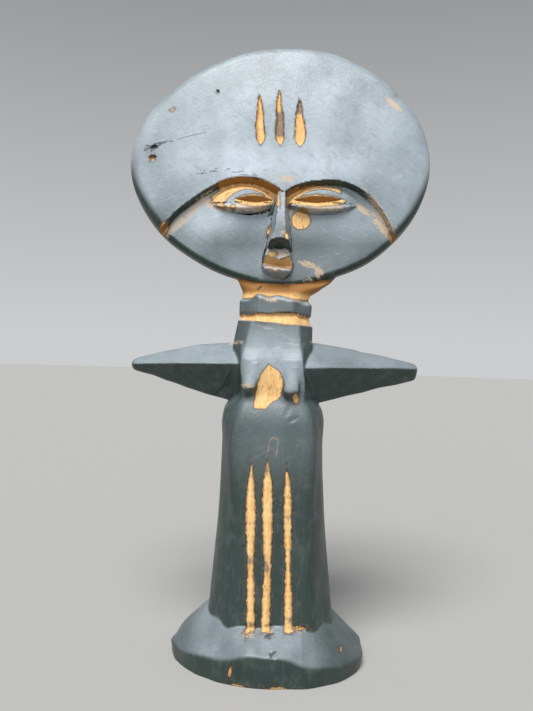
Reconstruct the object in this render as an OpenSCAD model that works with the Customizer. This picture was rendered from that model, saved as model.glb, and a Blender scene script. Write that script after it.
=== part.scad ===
// Standing carved figure of the akua'ba kind: a broad flat oval head on a ringed neck,
// short pointed arms held out level, and a plain column body spreading into a foot.
// Upright and facing -Y.  X runs across the arms, Z is up, millimetres.
// The origin is the centre of the flat underside it stands on.

/* [Head] */
// width of the head across the face
head_w = 134; // [100:1:180]
// height of the head
head_h = 108; // [80:1:150]
// height of the head's middle above the ground
head_z = 218; // [180:1:280]
// thickness of the head through the forehead
head_t = 25; // [18:1:36]
// how far the head leans back, degrees
head_lean = 7; // [0:1:20]
// how far the forehead stands proud of the cheeks
brow_step = 5; // [2:0.5:8]
// height of the brow arches above the head's middle
brow_rise = -8.6; // [-16:0.2:0]
// drop of the brow from its arch to the rim
brow_drop = 23; // [14:1:30]

/* [Face] */
// distance of each eye from the centre line
eye_x = 16.3; // [12:0.1:22]
// length of each eye
eye_len = 26; // [18:1:32]
// height of the eyes above the head's middle
eye_z = -18.3; // [-26:0.1:-12]
// height of each eye
eye_h = 10; // [6:0.5:14]
// how far each eye stands off the cheek
eye_out = 3.2; // [1.5:0.1:5]
// length of the nose from bridge to base
nose_len = 23; // [16:1:30]
// width of the nose at its base
nose_w = 10.4; // [7:0.1:16]
// how far the nose stands off the cheek at its base
nose_out = 9; // [5:0.5:12]
// width of the mouth
mouth_w = 14; // [9:0.5:20]
// height of the line between the lips above the head's middle
mouth_z = -46.6; // [-50:0.1:-40]

/* [Neck] */
// height of the bottom of the neck above the ground
neck_z = 146.4; // [120:0.2:170]
// half width of the bare neck above and below the ring
neck_r = 14.8; // [10:0.1:18]
// half width of the neck ring
ring_r = 16.4; // [12:0.1:20]
// height of the underside of the ring above the ground
ring_z = 151.4; // [125:0.2:175]
// height of the ring from underside to top
ring_h = 7.2; // [4:0.1:12]
// height where the neck runs out into the back of the head
nape_z = 174; // [165:0.5:185]

/* [Body] */
// height of the hem line between skirt and torso
waist_z = 113; // [90:1:140]
// half width of the torso at the arm roots
torso_w = 17.2; // [14:0.1:22]
// distance of the flat chest in front of the axis
chest_y = 20; // [16:0.5:28]
// height where the chest starts to fall back to the shoulders
bust_z = 130; // [120:1:136]
// height of the shoulders, where the arms' upper edges start
shoulder_z = 138; // [125:1:150]
// half width of the skirt at its top
skirt_w = 22; // [16:0.5:28]
// distance of the skirt's front below the chest from the axis
skirt_y = 22; // [16:0.5:28]
// half width of the skirt at the foot
hem_w = 27.2; // [20:0.2:36]
// distance of each breast from the centre line
breast_x = 9.3; // [7:0.1:12]
// half width of each breast where it leaves the chest
breast_r = 4.4; // [3:0.1:6]
// how far each breast stands off the chest
breast_out = 5.2; // [3:0.1:8]

/* [Arms] */
// distance from the axis to the tip of an arm
arm_reach = 64; // [45:1:90]
// height of the arm tips above the ground
arm_tip_z = 127; // [110:1:150]

/* [Foot] */
// half width of the foot
foot_w = 43; // [34:0.5:60]
// half depth of the foot, front to back
foot_d = 39; // [30:0.5:55]
// height of the foot where the skirt meets it
foot_h = 21; // [14:0.5:30]

/* [Hidden] */
BLACK = [0.16, 0.17, 0.17];
RAW = [0.78, 0.58, 0.34];
HA = head_w / 2;
HB = head_h / 2;
// front of the forehead and of the cheeks, in the head's frame
HF = -head_t / 2;
HC = HF + brow_step;

// forehead lines in the head's frame, skirt lines above the ground:
// middle x, low end, high end, width, depth
BROW_LINES = [[-9, 5, 28, 3.8, 1.6], [-0.9, 5, 29.5, 4.2, 1.8], [8.4, 5, 25, 4.8, 1.8]];
SKIRT_LINES = [[-6.9, 18, 86, 4.4, 1.9], [-1.3, 18, 88, 4.6, 1.9], [7.6, 18, 85, 3.4, 1.7]];

function sgn_pow(v, p) = sign(v) * pow(abs(v), p);

// oval outline, half width a, half height b, fullness n
function oval(a, b, n, steps) = [
    for (i = [0 : steps - 1])
        let (t = 360 * i / steps)
        [a * sgn_pow(cos(t), 2 / n), b * sgn_pow(sin(t), 2 / n)]
];

// carved eight-sided section, each side shared into four steps:
// w half width, f half width of the front flat, yf and yb front and back,
// ys half length of the side flat
function eight(w, f, yf, yb, ys) = let (
    c = [[w, -ys], [w, ys], [f, yb], [-f, yb], [-w, ys], [-w, -ys], [-f, -yf], [f, -yf]]
) [
    for (i = [0 : 7])
        for (q = [0 : 3])
            c[i] + (c[(i + 1) % 8] - c[i]) * q / 4
];

function at_z(pts, z) = [for (p = pts) [p[0], p[1], z]];

// middle of a ring along one axis
function centre(r, a) = let (v = [for (p = r) p[a]]) (min(v) + max(v)) / 2;

// closed skin over a stack of rings with equal point counts
module skin(rings) {
    n = len(rings[0]);
    m = len(rings);
    mid = [for (r = [rings[0], rings[m - 1]]) [for (a = [0 : 2]) centre(r, a)]];
    pts = concat([for (r = rings) each r], mid);
    side = [
        for (j = [0 : m - 2])
            for (i = [0 : n - 1])
                let (k = (i + 1) % n)
                each [
                    [j * n + i, (j + 1) * n + i, (j + 1) * n + k],
                    [j * n + i, (j + 1) * n + k, j * n + k]
                ]
    ];
    first = [for (i = [0 : n - 1]) [i, (i + 1) % n, m * n]];
    last = [for (i = [0 : n - 1]) [(m - 1) * n + (i + 1) % n, (m - 1) * n + i, m * n + 1]];
    polyhedron(points = pts, faces = concat(side, first, last), convexity = 6);
}

// the head's own frame: leans back about its middle, x right, z up, -y forward
module lean() {
    translate([0, 0, head_z])
        rotate([-head_lean, 0, 0])
            children();
}

// extrudes an outline drawn in x and z forward from depth y0 to depth y1
module slab(y0, y1, top = 1) {
    translate([0, y0, 0])
        rotate([90, 0, 0])
            linear_extrude(height = y0 - y1, scale = top)
                children();
}

// height of the brow line at distance x from the centre, in the head's frame
function brow(x) = let (a = abs(x), arch = HA * 0.225)
    a < arch
        ? brow_rise - 4.9 * pow((arch - a) / arch, 2)
        : brow_rise - brow_drop * pow((a - arch) / (HA * 0.55), 1.7);

// everything below the brow line
module below_brow() {
    polygon(concat(
        [for (x = [-HA : HA / 24 : HA]) [x, brow(x)]],
        [[HA + 6, brow(HA)], [HA + 6, -HB - 10], [-HA - 6, -HB - 10], [-HA - 6, brow(HA)]]
    ));
}

// tapered trough of a gouge in an upright surface at depth y, from a table of lines
module gouge(line, y) {
    w = line[3];
    d = line[4];
    r0 = (w * w / 4 + d * d) / (2 * d);
    r1 = r0 * 0.45;
    hull() {
        translate([line[0], y - r0 + d, line[1] + r0])
            sphere(r = r0, $fn = 24);
        translate([line[0], y - r1 + d * 0.2, line[2] - r1])
            sphere(r = r1, $fn = 24);
    }
}

// the whole oval disc, before the face is cut back
module head_blank() {
    // depth station, share of the full outline
    st = [[-HF - 1, 0.86], [-HF - 4, 0.95], [2, 1], [HF + 8, 1], [HF + 3.5, 0.965],
          [HF + 1.4, 0.86], [HF + 0.4, 0.66], [HF, 0.4]];
    skin([
        for (s = st)
            [for (p = oval(HA * s[1], HB * s[1], 1.93, 72)) [p[0], s[0], p[1]]]
    ]);
}

module head() {
    color(BLACK)
        lean()
            difference() {
                head_blank();
                slab(HC, HF - 10)
                    below_brow();
                gouge(BROW_LINES[0], HF);
                gouge(BROW_LINES[1], HF);
                gouge(BROW_LINES[2], HF);
            }
}

module nose() {
    top = brow(0);
    low = top - nose_len;
    color(BLACK)
        lean()
            polyhedron(
                points = [
                    [-1.6, HC, top], [1.6, HC, top], [0, HF + 0.4, top],
                    [-nose_w / 2, HC, low], [nose_w / 2, HC, low],
                    [0, HC - nose_out, low + 0.8], [0, HC, low - 2.6]
                ],
                faces = [
                    [0, 1, 2], [0, 2, 5], [0, 5, 3], [1, 4, 5], [1, 5, 2], [3, 5, 6],
                    [4, 6, 5], [0, 3, 6], [0, 6, 4], [0, 4, 1]
                ],
                convexity = 4
            );
}

// almond outline, long axis level
module almond(len, h) {
    r = (len * len / 4 + h * h / 4) / h;
    intersection() {
        translate([0, h / 2 - r])
            circle(r = r, $fn = 96);
        translate([0, r - h / 2])
            circle(r = r, $fn = 96);
    }
}

module eye(side) {
    lean()
        translate([side * eye_x, 0, eye_z])
            difference() {
                slab(HC, HC - eye_out, 0.62)
                    almond(eye_len, eye_h);
                slab(HC - eye_out * 0.45, HC - eye_out - 1)
                    almond(eye_len * 0.66, 1.5);
            }
}

module left_eye() {
    color(BLACK)
        eye(1);
}

module right_eye() {
    color(BLACK)
        eye(-1);
}

// pad under the nose, and both lips with a slit between them
module mouth() {
    color(BLACK)
        lean()
            difference() {
                union() {
                    translate([0, 0, mouth_z + 5.4])
                        slab(HC, HC - 3.4, [0.8, 0.8])
                            square([mouth_w * 0.75, 4.4], center = true);
                    translate([0, 0, mouth_z])
                        slab(HC, HC - 4.4, [0.75, 0.6])
                            square([mouth_w, 7], center = true);
                }
                translate([0, HC - 5.4, mouth_z])
                    cube([mouth_w * 0.7, 3, 0.9], center = true);
            }
}

// bare flared stub between the ring and the head, running up behind the chin
module neck() {
    low = ring_z + ring_h;
    color(RAW)
        difference() {
            skin([
                at_z(eight(neck_r, 8.2, 13.2, 13.2, 7), low),
                at_z(eight(neck_r + 0.6, 8.6, 11.4, 12.8, 6), low + 2),
                at_z(eight(neck_r + 3.4, 10, 8, 11, 4), low + 6.6),
                at_z(eight(neck_r + 5, 11, 3, 4.5, 2), nape_z)
            ]);
            lean()
                head_blank();
        }
}

// bare groove between the ring and the shoulders
module lower_neck() {
    color(RAW)
        skin([
            at_z(eight(torso_w - 1.6, 9, 15, 14.6, 7.6), neck_z),
            at_z(eight(neck_r, 8.4, 13.6, 13.4, 7), neck_z + 1.8),
            at_z(eight(neck_r, 8.4, 13.4, 13.2, 7), ring_z)
        ]);
}

module neck_ring() {
    color(BLACK)
        skin([
            at_z(eight(ring_r - 0.8, 8.6, 14.6, 14.6, 7.4), ring_z),
            at_z(eight(ring_r, 9, 15.4, 15.4, 8), ring_z + 1.4),
            at_z(eight(ring_r, 9, 15.4, 15.4, 8), ring_z + ring_h - 1.4),
            at_z(eight(ring_r - 1, 8.6, 14.6, 14.6, 7.4), ring_z + ring_h)
        ]);
}

module torso() {
    color(BLACK)
        skin([
            at_z(eight(torso_w, 14, chest_y, 19, 12), waist_z),
            at_z(eight(torso_w, 12.6, chest_y, 18.4, 12), bust_z),
            at_z(eight(torso_w, 10.6, 18.2, 16.6, 10), shoulder_z),
            at_z(eight(torso_w - 0.8, 9.4, 15.8, 15.2, 8), neck_z)
        ]);
}

// a ridge that leaves the chest near its fold and swells down to a rounded point
module breast(side) {
    point_r = 2.6;
    hull() {
        translate([side * breast_x, -chest_y, bust_z - breast_r])
            rotate([90, 0, 0])
                cylinder(r = breast_r - 1, h = 0.4, $fn = 32);
        translate([side * breast_x, -chest_y, waist_z + breast_r + 0.4])
            rotate([90, 0, 0])
                cylinder(r = breast_r, h = 0.8, $fn = 32);
        translate([side * breast_x, -chest_y - breast_out + point_r, waist_z + breast_r])
            sphere(r = point_r, $fn = 24);
    }
}

module left_breast() {
    color(BLACK)
        breast(1);
}

module right_breast() {
    color(BLACK)
        breast(-1);
}

// six-sided arm section at distance x: low and high edges, front and back reach
function arm_ring(x, lo, hi, d) = let (m = lo + (hi - lo) * 0.66) [
    [x, -0.24 * d, hi], [x, -d, m], [x, -0.26 * d, lo],
    [x, 0.26 * d, lo], [x, 0.92 * d, m], [x, 0.24 * d, hi]
];

module arm(side) {
    a = arm_reach;
    t = arm_tip_z;
    rings = [
        arm_ring(torso_w, waist_z, shoulder_z, 13.2),
        arm_ring(torso_w + 5, waist_z + 0.4, shoulder_z - 0.4, 12.8),
        arm_ring(a * 0.62, t - 8.9, t + 8.6, 9.6),
        arm_ring(a * 0.9, t - 4.3, t + 4, 5.6),
        arm_ring(a * 0.985, t - 2.5, t + 1.8, 3.4),
        arm_ring(a, t - 1.3, t + 0.6, 1.6)
    ];
    scale([side, 1, 1])
        skin(rings);
}

module left_arm() {
    color(BLACK)
        arm(1);
}

module right_arm() {
    color(BLACK)
        arm(-1);
}

// outline of the column at height z, growing towards the foot
function column(z) = let (k = (waist_z - z) / (waist_z - foot_h))
    eight(skirt_w + (hem_w - skirt_w) * pow(k, 1.4),
          16.3 + 3.2 * k, skirt_y + 4 * k, 20.5 + 4.5 * k, 12.5 + 3 * k);

module skirt() {
    levels = [for (i = [0 : 5]) foot_h + (waist_z - foot_h) * i / 5];
    color(BLACK)
        difference() {
            skin([for (z = levels) at_z(column(z), z)]);
            gouge(SKIRT_LINES[0], -skirt_y - 2.6);
            gouge(SKIRT_LINES[1], -skirt_y - 2.6);
            gouge(SKIRT_LINES[2], -skirt_y - 2.6);
        }
}

// oval ring of the foot at matching corners, share s, height from lo to hi
function foot_ring(s, lo, hi) = [
    for (p = column(foot_h))
        let (t = atan2(p[1] / foot_d, p[0] / foot_w), c = abs(sin(t)))
        [foot_w * s * cos(t), foot_d * s * sin(t), lo + (hi - lo) * pow(c, 1.5)]
];

module base() {
    color(BLACK)
        skin([
            foot_ring(0.965, 0, 0),
            foot_ring(1, 2.6, 11.5),
            foot_ring(0.93, 7.6, 14.6),
            at_z(column(foot_h), foot_h)
        ]);
}

head();
nose();
left_eye();
right_eye();
mouth();
neck();
neck_ring();
lower_neck();
torso();
left_breast();
right_breast();
left_arm();
right_arm();
skirt();
base();
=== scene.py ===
"""A carved, blackened wooden doll: a broad flat head on a ringed neck, level arms, a column body
and a spreading foot.

The doll is one block of wood, so it is sculpted as one signed distance field, in millimetres and in
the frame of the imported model. The field is meshed once, and its skin is cut along the borders of
the carved masses: each CAD node gets a closed piece, and neighbours share their border points.
"""
import math
from functools import partial
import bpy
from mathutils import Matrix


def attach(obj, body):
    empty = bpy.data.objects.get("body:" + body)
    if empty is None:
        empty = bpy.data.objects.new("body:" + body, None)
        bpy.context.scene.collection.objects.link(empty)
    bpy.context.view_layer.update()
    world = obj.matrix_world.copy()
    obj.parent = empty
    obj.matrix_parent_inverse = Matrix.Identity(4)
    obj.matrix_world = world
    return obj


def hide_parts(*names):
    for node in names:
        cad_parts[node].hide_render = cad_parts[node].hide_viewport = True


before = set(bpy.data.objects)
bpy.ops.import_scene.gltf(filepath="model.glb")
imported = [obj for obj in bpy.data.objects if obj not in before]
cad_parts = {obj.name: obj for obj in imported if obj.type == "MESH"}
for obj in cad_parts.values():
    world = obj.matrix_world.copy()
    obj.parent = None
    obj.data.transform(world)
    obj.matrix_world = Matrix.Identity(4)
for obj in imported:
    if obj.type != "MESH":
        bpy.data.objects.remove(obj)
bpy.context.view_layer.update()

from types import SimpleNamespace

import bpy
import numpy as np
from mathutils import Matrix, Vector

MM = 0.001
CELL = 0.6

# ---- driving sizes, millimetres

HEAD_HALF_W = 66.7
HEAD_HALF_H = 54.7
HEAD_MID = (0.0, 0.0, 218.4)
HEAD_LEAN = math.radians(7.0)
HEAD_ROLL = math.radians(1.5)
FOREHEAD = 12.5
BACK_OF_HEAD = 11.5

RING_TOP = 159.0
RING_LOW = 151.4
NECK_LOW = 147.2
MID_RING = 155.0
HEAD_FROM = 163.5
WAIST_Z = 113.0
CREASE_Z = 20.4
ARM_REACH = 64.0

FOOT_HALF_W = 42.9
FOOT_HALF_D = 38.4


# ---- field helpers


def smooth_max(a, b, k):
    """Larger of a and b, with the edge between them rounded over about k."""
    h = np.clip(0.5 + 0.5 * (a - b) / k, 0.0, 1.0)
    return b + (a - b) * h + k * h * (1.0 - h)


def smooth_min(a, b, k):
    """Smaller of a and b, with the corner between them filled over about k."""
    return -smooth_max(-a, -b, k)


def ease(edge0, edge1, v):
    """0 at edge0 and beyond it, 1 at edge1 and beyond it, and a smooth step between."""
    t = np.clip((v - edge0) / (edge1 - edge0), 0.0, 1.0)
    return t * t * (3.0 - 2.0 * t)


def ramp(edge0, edge1, v):
    """0 at edge0 and beyond it, 1 at edge1 and beyond it, and a straight slope between."""
    return np.clip((v - edge0) / (edge1 - edge0), 0.0, 1.0)


def along(t, stations):
    """Smooth curve through (position, value) stations, positions rising."""
    at = np.array([s[0] for s in stations], float)
    val = np.array([s[1] for s in stations], float)
    slope = np.gradient(val, at)
    i = np.clip(np.searchsorted(at, t) - 1, 0, len(at) - 2)
    width = at[i + 1] - at[i]
    u = np.clip((t - at[i]) / width, 0.0, 1.0)
    return (
        val[i] * (1 + 2 * u) * (1 - u) ** 2
        + slope[i] * width * u * (1 - u) ** 2
        + val[i + 1] * u * u * (3 - 2 * u)
        - slope[i + 1] * width * u * u * (1 - u)
    )


def waves(x, y, z, size, seed, count=7):
    """Smooth unevenness between about -1 and 1, with swells about size across."""
    rng = np.random.default_rng(seed)
    total = np.zeros_like(x)
    for _ in range(count):
        way = rng.normal(size=3)
        way *= rng.uniform(0.6, 1.4) * 2 * math.pi / (size * np.linalg.norm(way))
        total += np.sin(way[0] * x + way[1] * y + way[2] * z + rng.uniform(0, 2 * math.pi))
    return total / math.sqrt(count)


def spot_inside(x, z, spot):
    """Distance inside an oval spot (middle x, middle z, half width, half height, tilt in
    degrees), negative outside it."""
    mid_x, mid_z, half_x, half_z, tilt = spot
    c, s = math.cos(math.radians(tilt)), math.sin(math.radians(tilt))
    u = ((x - mid_x) * c + (z - mid_z) * s) / half_x
    v = ((z - mid_z) * c - (x - mid_x) * s) / half_z
    return (1 - np.sqrt(u * u + v * v)) * min(half_x, half_z)


def eight_sided(x, y, half_w, front_w, front, back, side_w, k):
    """Distance to an upright eight-sided section: half width, half width of the front flat,
    reach to the front and back, half length of the side flat, rounding of the corners."""
    ax = np.abs(x)
    d = smooth_max(-y - front, y - back, k)
    d = smooth_max(d, ax - half_w, k)
    run = half_w - front_w
    for reach, along_y in ((front, -y), (back, y)):
        rise = reach - side_w
        size = np.sqrt(run * run + rise * rise)
        d = smooth_max(d, ((ax - front_w) * rise + (along_y - reach) * run) / size, k)
    return d


def round_cut(inside, half):
    """Depth, 0 to 1, of a rounded trough: inside is the distance from its edge."""
    t = 1 - np.clip(inside / half, 0, 1)
    return np.sqrt(1 - t * t)


# ---- head
# the face is laid out in the head's own frame: x to the doll's left, z up, from the head's middle

FACE_X = 1.2
CHEEK = 6.3
CHEEK_AT_RIM = 2.5
VALLEY_RIGHT = 5.4
VALLEY_LEFT = 4.3
WALL = 1.4

# the rim's stand-off from an even oval, by degrees from the doll's left round over the top
RIM = [(0, -0.3), (45, 0), (62, 0.3), (80, -1), (108, -2.3), (142, -2.6), (160, -0.9)]
RIM += [(176, 0.2), (200, -0.2), (228, -0.7), (250, 0.1), (270, 0.6), (292, 0.5), (325, 0)]
RIM += [(360, -0.3)]
RIM_CHIP = (30.0, 3.6, 1.5)

# lower edge of the brow: two arches that meet over the nose and fall to the rim
BROW = [(-58, -38), (-52, -31.2), (-46, -24.8), (-39, -19.6), (-31, -14.4), (-24, -11), (-15.5, -9.8)]
BROW += [(-7.5, -11.3), (-2, -14.2), (1.3, -16.2), (4.5, -14.2), (10, -12.2), (18.5, -11.1)]
BROW += [(27.5, -11.6), (34, -14.4), (40, -19), (45.5, -26.5), (50, -36), (54, -46)]


def head_frame(x, y, z):
    """World millimetres to the head's own frame: x right, y back, z up, about its middle."""
    dx, dy, dz = x - HEAD_MID[0], y - HEAD_MID[1], z - HEAD_MID[2]
    ly = dy * math.cos(HEAD_LEAN) - dz * math.sin(HEAD_LEAN)
    up = dy * math.sin(HEAD_LEAN) + dz * math.cos(HEAD_LEAN)
    lx = dx * math.cos(HEAD_ROLL) + up * math.sin(HEAD_ROLL)
    lz = up * math.cos(HEAD_ROLL) - dx * math.sin(HEAD_ROLL)
    return lx, ly, lz


def below_brow(x, z):
    """Distance down and out from the brow line, negative on the forehead."""
    step = 0.5
    brow = along(x, BROW)
    slope = (along(x + step, BROW) - along(x - step, BROW)) / (2 * step)
    return (brow - z) / np.sqrt(1 + slope * slope)


def brow_cut(x, z):
    """How far the face is cut back behind the forehead: a steep wall, then a rise to the cheek."""
    s = below_brow(x, z)
    near = np.exp(-(((x - FACE_X) / 32.0) ** 2))
    valley = VALLEY_LEFT + (VALLEY_RIGHT - VALLEY_LEFT) * ease(3, 0, x)
    valley = 3.1 + (valley - 3.1) * near
    cheek = CHEEK_AT_RIM + (CHEEK - CHEEK_AT_RIM) * near
    cheek = cheek * (1 - 0.12 * ease(-38, -54, z))
    wall = WALL - 0.3 * (1 - near)
    return ramp(0.0, wall, s) * valley + (cheek - valley) * ease(wall, wall + 5.5, s)


# an almond lies between its corners: middle, their height, half length, reach up and down. Its slit
# has a middle and half length. Bare wood over the upper lid ends at edge, lower by fall away from
# edge_x, and top is how much of the lid's height is left there.
EYES = {
    "right_eye": SimpleNamespace(
        mid=-16.6, corner=-20.3, half=14.4, up=8.8, down=4.3, slit=-11.6, slit_half=8.0,
        edge=-14.3, fall=0.051, edge_x=-14.0, top=0.30,
    ),
    "left_eye": SimpleNamespace(
        mid=18.4, corner=-20.4, half=15.6, up=8.2, down=4.5, slit=15.9, slit_half=10.9,
        edge=-14.1, fall=0.032, edge_x=18.0, top=0.50,
    ),
}
SLIT_HALF = 1.85
SLIT_DEEPEST = 0.76
LID = 4.9


def slit_place(x, z, eye):
    """Distance inside an eye's slit, negative outside, and the place down it from 0 to 1."""
    out = (x - eye.slit) / eye.slit_half
    half = SLIT_HALF * np.clip(1 - out * out, 0, 1)
    rise = z - eye.corner - 1.2
    return half - np.abs(rise) - 4 * np.clip(out * out - 1, 0, 4), 0.5 - 0.5 * rise / np.maximum(half, 0.1)


def eye_height(x, z, eye):
    """How far a lidded eye stands off the cheek: a full lower lid, a slit whose roof slants in and
    whose floor comes straight out, and an upper lid that slopes back into the brow's valley."""
    out = (x - eye.mid) / eye.half
    bulge = np.clip(1 - out * out, 0, 1) ** 0.8
    t = (z - eye.corner) / np.where(z > eye.corner, eye.up * bulge + 0.01, eye.down * bulge + 0.01)
    lower = (0.88 + 0.18 * np.abs(t)) * (1 - ramp(0.56, 1.0, np.abs(t)) ** 2) ** 0.75
    upper = np.where(t > 1.15, 0.0, 1 - (1 - eye.top) * ramp(0.60, 1.0, t))
    body = LID * np.where(t < 0, lower, upper) * np.clip(1 - out**2, 0, 1) ** 0.3
    inside, place = slit_place(x, z, eye)
    notch = np.minimum(place / SLIT_DEEPEST, (1 - place) / (1 - SLIT_DEEPEST))
    return body - 3.0 * np.clip(notch, 0, 1) * ramp(-0.1, 1.2, inside)


NOSE_TOP = -15.0
NOSE_TIP = -37.4
NOSE_FLAT = [(-42, 4.6), (-37.5, 3.9), (-34.5, 2.7), (-30, 2.1), (-18, 1.5), (-10, 1.2)]
NOSE_HALF = [(-42, 5.8), (-38, 5.5), (-34, 5.1), (-29, 4.3), (-18, 2.7), (-10, 1.7)]


def nose_height(x, z):
    """Level of the nose over the forehead's own level, far below it away from the nose."""
    u = np.abs(x - 0.3 - 0.05 * (z + 18))
    crest = -0.4 + 3.4 * np.clip((NOSE_TOP - z) / (NOSE_TOP - NOSE_TIP), 0, 1.1) ** 1.3
    flat = along(z, NOSE_FLAT)
    level = crest - (crest + CHEEK) * np.clip((u - flat) / (along(z, NOSE_HALF) - flat), 0, 4)
    arch = NOSE_TIP + 0.3 - 2.0 * (u / 5.0) ** 2
    level = level - (crest + 3.4) * ramp(0.0, 2.3, arch - z) - 5.0 * np.clip(arch - z - 2.4, 0, 4)
    return np.where(z < NOSE_TOP + 3.0, level, -30.0) - 3.0 * np.clip(z - NOSE_TOP + 1.0, 0, 10)


MOUTH_X = -1.3
MOUTH_TOP = -39.0
ABSENT = -40.0
MOUTH_HALF = [(-56, 0.6), (-53, 2.8), (-51.2, 4.9), (-49.7, 6.3), (-46.8, 7.4), (-43.8, 6.3), (-40.4, 5.4)]


def mouth_lines(x):
    """Heights of the upper lip's bow, the line between the lips and the lower lip's crest."""
    a = np.abs(x - MOUTH_X - 0.5)
    bow = -45.4 + 2.1 * np.clip(a / 6.0, 0, 1) ** 0.9
    line = -47.1 - 0.13 * (x - MOUTH_X)
    return bow, line, line - 2.3 - 0.25 * np.sin(x * 1.7)


def mouth_height(x, z):
    """Level of the pad under the nose and of both lips over the forehead's own level."""
    bow, line, crest = mouth_lines(x)
    pad = -1.5 - 0.42 * (z - bow)
    upper = -1.5 - 3.2 * np.clip((bow - z) / (bow - line), 0, 1)
    lower = -4.7 + 4.0 * np.clip((line - z) / (line - crest), 0, 1) ** 0.75
    under = -0.7 - 6.0 * np.clip((crest - z) / 3.4, 0, 3) ** 1.7
    level = np.where(z > bow, pad, np.where(z > line, upper, np.where(z > crest, lower, under)))
    half = along(z, MOUTH_HALF)
    level = level - 9.0 * np.clip((np.abs(x - MOUTH_X) - half + 0.8) / 1.4, 0, 3)
    return level - 4.0 * np.clip(z + 40.2, 0, 8)


# forehead lines: middle x, low z, high z, half width, depth
BROW_MARKS = [(-9, 5, 27.6, 1.9, 1.5), (-0.5, 4.8, 29.6, 1.9, 1.6), (8.3, 4.4, 25.4, 2.35, 1.5)]


def mark_inside(x, z, mark):
    """Distance inside one forehead line, negative outside: round below, pointed above."""
    mid, low, high, half, _ = mark
    t = np.clip((z - low) / (high - low), 0, 1)
    edge = half * (1 - np.exp(-t * 13.0)) * (1 - t) ** 0.6 * 1.15
    side = edge - np.abs(x - mid - 0.18 * np.sin(z * 0.5 + mid) + 0.02 * (z - low))
    return np.minimum(side, np.minimum(z - low, high - z) + 0.2)


def face_parts(x, z):
    """Levels of the eyes, the nose, the mouth and the rest of the face over the forehead's own."""
    s = below_brow(x, z)
    parts = {name: np.where(s > 1.0, eye_height(x, z, EYES[name]) - CHEEK, ABSENT) for name in EYES}
    parts["nose"] = np.where(s > -0.4, nose_height(x, z), ABSENT)
    parts["mouth"] = np.where(z < MOUTH_TOP, mouth_height(x, z), ABSENT)
    parts["cheek"] = -brow_cut(x, z)
    return parts


def face_level(x, z):
    """Reach of the front of the head in front of its middle plane."""
    rho = np.sqrt((x / HEAD_HALF_W) ** 2 + (z / HEAD_HALF_H) ** 2)
    dome = FOREHEAD - 4.6 * np.clip(rho, 0, 1.3) ** 3
    dome = dome + 0.22 * waves(x, z * 0.8, z * 0, 26.0, 3)
    level = dome + np.maximum.reduce(list(face_parts(x, z).values()))
    for mark in BROW_MARKS:
        level = level - mark[4] * round_cut(mark_inside(x, z, mark), mark[3])
    return level


def head_field(x, y, z):
    lx, ly, lz = head_frame(x, y, z)
    step = 0.25
    level = face_level(lx, lz)
    slope_x = (face_level(lx + step, lz) - level) / step
    slope_z = (face_level(lx, lz + step) - level) / step
    front = -ly - level
    steep = np.sqrt(1 + np.minimum(slope_x**2 + slope_z**2, 9.0))
    front = front / (1 + (steep - 1) * ease(-9.0, -5.0, front))
    n = 1.94
    ring = (np.abs(lx / HEAD_HALF_W) ** n + np.abs(lz / HEAD_HALF_H) ** n) ** (1 / n)
    grow = np.sqrt((lx / HEAD_HALF_W**2) ** 2 + (lz / HEAD_HALF_H**2) ** 2) / np.maximum(ring, 0.2)
    angle = np.degrees(np.arctan2(lz, lx)) % 360
    chip_angle, chip_length, chip_depth = RIM_CHIP
    fall = (chip_angle - angle) / chip_length
    chip = chip_depth * ramp(-0.45, 0.2, fall) * np.exp(-np.clip(fall, 0, 9)) * ease(3.0, -4.0, ly)
    rim = (ring - 1) / np.maximum(grow, 0.006) - along(angle, RIM) + chip
    rim = rim + 0.25 * waves(lx, ly * 0.5, lz, 34.0, 11)
    back = ly - BACK_OF_HEAD + 2.6 * np.clip(ring, 0, 1.2) ** 4
    edge = 2.2 + 2.0 * ease(-44, -10, lz)
    d = smooth_max(front, rim + 0.010 * (ly - 1.0) ** 2, edge)
    return smooth_max(d, back, 9.0)


# ---- neck, torso, arms


# sections of the neck by height: half width, reach to the front and back, and sideways lean
NECK = {
    "half": [(145, 16.2), (148, 15.4), (151, 14.4), (158, 14.6), (160.4, 15.1), (163, 17.4), (168, 22)],
    "front": [(145, 15.6), (148, 14.8), (151, 13.6), (158, 13.2), (161, 11.2), (165, 7.8), (172, 3)],
    "back": [(145, 15.2), (151, 13.8), (158, 13.2), (162, 11.6), (167, 8.6), (172, 7), (178, 3)],
    "lean": [(150, -0.4), (159, -0.3), (163, 1.5), (167, 3.4)],
}


def neck_field(x, y, z):
    """Bare stub under the head and bare groove under the ring."""
    half, front, back, lean = (along(z, NECK[key]) for key in ("half", "front", "back", "lean"))
    d = eight_sided(x - lean, y, half, half * 0.52, front, back, half * 0.45, 1.2)
    d = d + 0.14 * waves(x, y, z * 0.4, 6.0, 21)
    return smooth_max(d, np.maximum(z - 178.0, 143.0 - z), 0.5)


def ring_field(x, y, z):
    low = RING_LOW - 1.3 * ease(7.0, 10.5, np.abs(x + 0.4)) + 0.25 * waves(x, y, z * 0, 14.0, 31)
    top = RING_TOP - 0.045 * x - 1.2 * ease(8.0, 13.0, np.abs(x)) + 0.3 * waves(x, y, z * 0, 11.0, 32)
    d = eight_sided(x + 0.4, y, 15.9, 7.3, 15.3, 14.9, 6.6, 0.8)
    d = d + 0.16 * waves(x, y, z, 9.0, 33)
    bevel = (d + (z - top) * 0.9 + 1.6) / 1.35
    return smooth_max(smooth_max(d, smooth_max(z - top, low - z, 0.4), 0.7), bevel, 0.5)


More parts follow.
